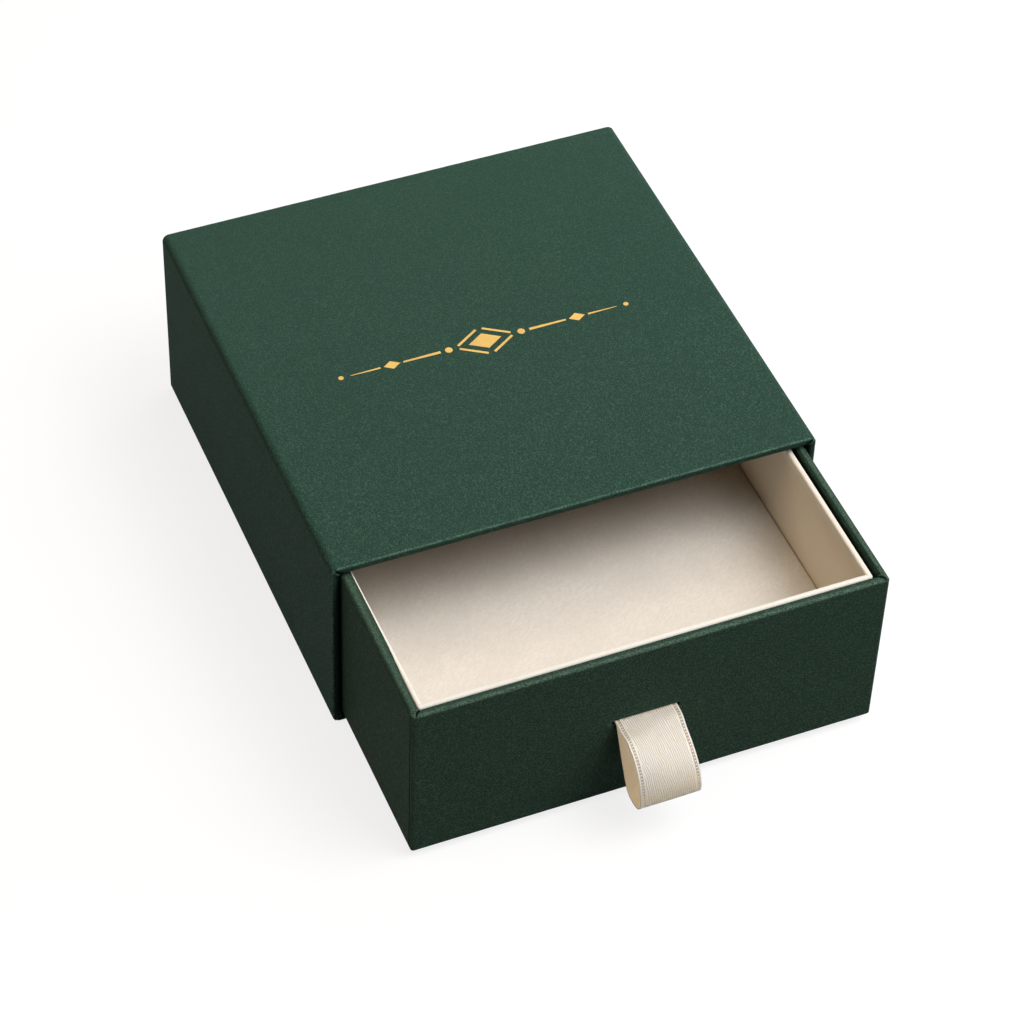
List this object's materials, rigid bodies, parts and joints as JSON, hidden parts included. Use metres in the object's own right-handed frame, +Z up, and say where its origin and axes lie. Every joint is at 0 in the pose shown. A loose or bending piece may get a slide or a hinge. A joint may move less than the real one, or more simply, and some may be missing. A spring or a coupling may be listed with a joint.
{
  "type": "sliding drawer gift box",
  "caption": "Square rigid gift box whose drawer slides out of a paper-covered sleeve by a ribbon loop; cream liner with a raised floor.",
  "frame": {"origin": "centre of the sleeve's underside, on the surface that the box stands on", "axes": "+Z up, -Y the way the drawer opens, +X to the right seen from the back of the drawer's front, which is the viewer's right facing the ribbon"},
  "size_m": [0.15, 0.2244, 0.065],
  "materials": {
    "greyboard": "uncoated greyboard, fibrous cut edges",
    "sleeve_paper": "dark green leather-grain covering paper, soft sheen",
    "drawer_paper": "dark green leather-grain covering paper, soft sheen",
    "lining_paper": "plain brown kraft paper, matte",
    "cream_paper": "cream paper with a faint grain, matte",
    "floor_paper": "cream paper with a faint grain, matte",
    "stay_tape": "gummed kraft tape",
    "ribbon": "cream grosgrain with stitched edges"
  },
  "bodies": {
    "sleeve": {"sleeve_top_board": "greyboard", "sleeve_bottom_board": "greyboard", "sleeve_left_board": "greyboard", "sleeve_right_board": "greyboard", "sleeve_back_board": "greyboard", "sleeve_cover_paper": "sleeve_paper", "sleeve_back_sheet": "sleeve_paper", "sleeve_lining_paper": "lining_paper"},
    "drawer": {"drawer_base_board": "greyboard", "drawer_front_board": "greyboard", "drawer_back_board": "greyboard", "drawer_left_board": "greyboard", "drawer_right_board": "greyboard", "drawer_cover_paper": "drawer_paper", "drawer_corner_stays": "stay_tape", "liner_front_board": "greyboard", "liner_back_board": "greyboard", "liner_left_board": "greyboard", "liner_right_board": "greyboard", "liner_cover_paper": "cream_paper", "liner_floor_board": "greyboard", "liner_floor_sheet": "floor_paper", "riser_long_strips": "greyboard", "riser_cross_strips": "greyboard", "ribbon_tails": "ribbon", "ribbon_patch": "stay_tape"},
    "ribbon": {"ribbon_loop": "ribbon"}
  },
  "joints": [
    {"name": "drawer_slide", "type": "slide", "parent": "sleeve", "child": "drawer", "axis": [0, -1, 0], "range_m": [-0.055, 0.085]},
    {"name": "ribbon_swing", "type": "hinge", "parent": "drawer", "child": "ribbon", "pos_m": [-0.0015, -0.1308, 0.0336], "axis": [-1, 0, 0], "range_deg": [0, 90]}
  ]
}
